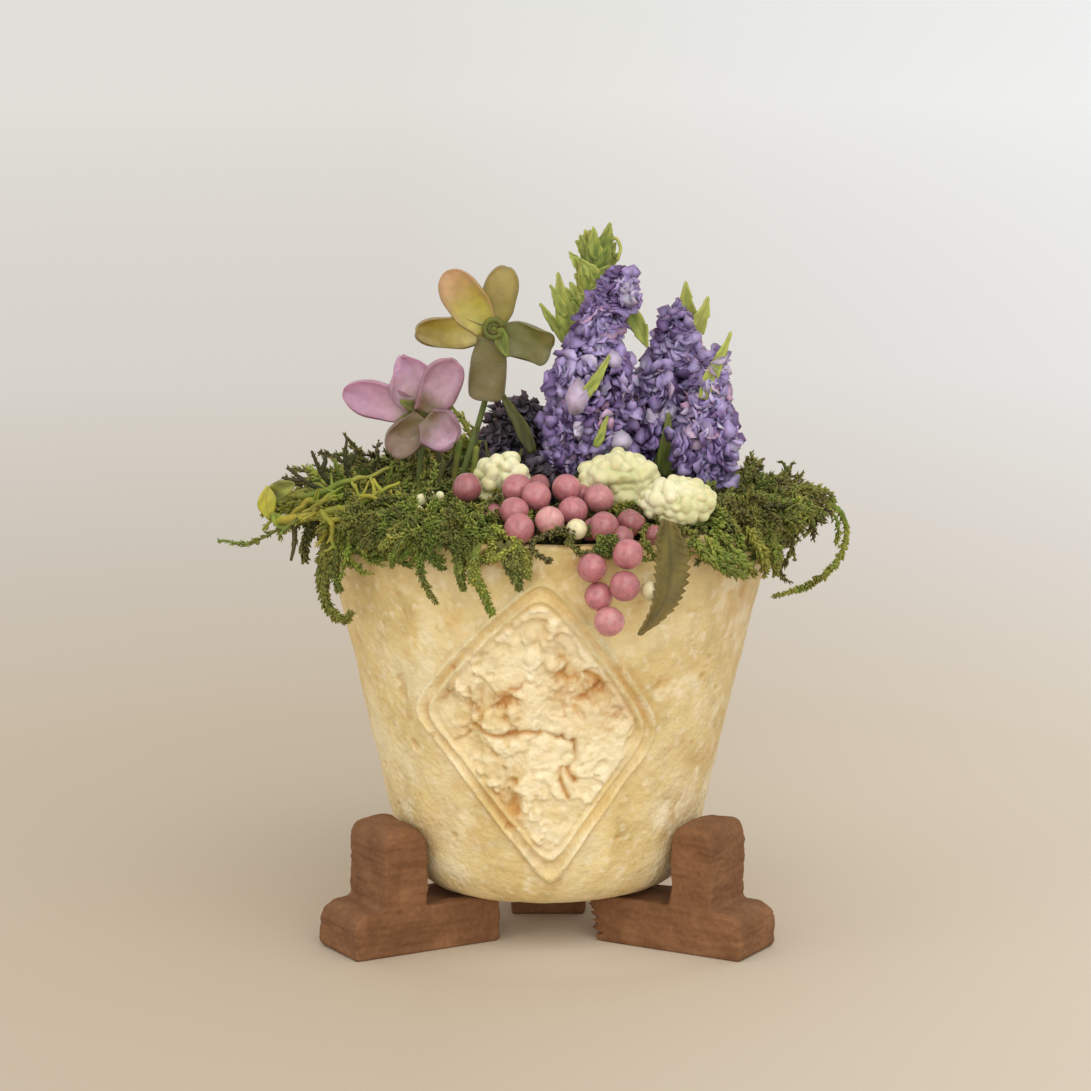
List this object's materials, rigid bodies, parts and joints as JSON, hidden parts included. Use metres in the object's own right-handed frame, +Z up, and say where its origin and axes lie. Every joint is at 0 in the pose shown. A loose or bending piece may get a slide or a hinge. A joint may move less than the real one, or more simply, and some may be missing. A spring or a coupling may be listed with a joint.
{
  "type": "miniature potted flower arrangement",
  "caption": "Dollhouse-scale planter: tapered cast pot with a diamond relief on wooden feet, a pierced foam plug inside holding wire-stemmed flowers, lilac spikes, moss and berries.",
  "frame": {"origin": "on the pot's axis, at the level of the feet's soles", "axes": "+Z up, -Y towards the side that carries the diamond relief, +X to the right seen from that side"},
  "size_m": [0.0396, 0.0336, 0.0445],
  "materials": {
    "cast_pot": "cast plaster with a honey wash, satin varnish",
    "feet_wood": "brown-stained strip wood, matt",
    "foam": "dark green dry floral foam",
    "moss": "dyed preserved fern moss",
    "bead_white": "cream micro beads",
    "berry": "mauve-pink round beads, soft gloss",
    "berry_pale": "pale green round beads, soft gloss",
    "leaf": "dyed paper leaf, matt",
    "stem_wire": "green covered stem wire",
    "flower_centre": "green-brown flower centre",
    "petal_star": "translucent petal, pink to olive",
    "petal_mauve": "translucent petal, mauve pink",
    "floret": "fine violet florets"
  },
  "bodies": {
    "feet": {"foot_left": "feet_wood", "foot_right": "feet_wood", "foot_rear": "feet_wood"},
    "pot": {"pot": "cast_pot"},
    "planting": {"foam_plug": "foam", "moss_bed": "moss", "moss_clump_left": "moss", "moss_clump_right": "moss", "moss_clump_back": "moss", "moss_clump_front": "moss", "moss_sprig_long": "moss", "moss_sprig_left": "moss", "moss_frond_left": "moss", "moss_frond_centre": "moss", "moss_frond_berry": "moss", "moss_frond_right": "moss", "moss_loop": "moss", "bead_head_left": "bead_white", "bead_head_centre": "bead_white", "bead_head_right": "bead_white", "berry_top_1": "berry", "berry_top_2": "berry", "berry_top_3": "berry", "berry_top_4": "berry", "berry_top_5": "berry", "berry_top_6": "berry", "berry_top_7": "berry", "berry_top_8": "berry", "berry_top_9": "berry", "berry_top_10": "berry", "berry_hanging_1": "berry", "berry_hanging_2": "berry", "berry_hanging_3": "berry", "berry_hanging_4": "berry", "berry_hanging_5": "berry", "berry_pale_1": "berry_pale", "berry_pale_2": "berry_pale", "berry_leaf": "leaf"},
    "star_flower": {"star_stem": "stem_wire", "star_centre": "flower_centre", "star_petal_1": "petal_star", "star_petal_2": "petal_star", "star_petal_3": "petal_star", "star_petal_4": "petal_star", "star_petal_5": "petal_star"},
    "mauve_flower": {"mauve_stem": "stem_wire", "mauve_centre": "flower_centre", "mauve_petal_1": "petal_mauve", "mauve_petal_2": "petal_mauve", "mauve_petal_3": "petal_mauve", "mauve_petal_4": "petal_mauve", "mauve_petal_5": "petal_mauve"},
    "spike_tall": {"spike_tall_stem": "stem_wire", "spike_tall_florets": "floret", "spike_tall_leaf": "leaf"},
    "spike_mid": {"spike_mid_stem": "stem_wire", "spike_mid_florets": "floret", "spike_mid_leaf": "leaf"},
    "spike_right": {"spike_right_stem": "stem_wire", "spike_right_florets": "floret"}
  },
  "joints": [
    {"name": "pot_lift", "type": "slide", "parent": "feet", "child": "pot", "axis": [0, 0, 1], "range_m": [0, 0.012]},
    {"name": "planting_lift", "type": "slide", "parent": "pot", "child": "planting", "axis": [0, 0, 1], "range_m": [0, 0.023]},
    {"name": "star_pick", "type": "slide", "parent": "planting", "child": "star_flower", "axis": [0, 0, 1], "range_m": [0, 0.018]},
    {"name": "mauve_pick", "type": "slide", "parent": "planting", "child": "mauve_flower", "axis": [0, 0, 1], "range_m": [0, 0.018]},
    {"name": "tall_pick", "type": "slide", "parent": "planting", "child": "spike_tall", "axis": [0, 0, 1], "range_m": [0, 0.018]},
    {"name": "mid_pick", "type": "slide", "parent": "planting", "child": "spike_mid", "axis": [0, 0, 1], "range_m": [0, 0.018]},
    {"name": "right_pick", "type": "slide", "parent": "planting", "child": "spike_right", "axis": [0, 0, 1], "range_m": [0, 0.018]}
  ]
}
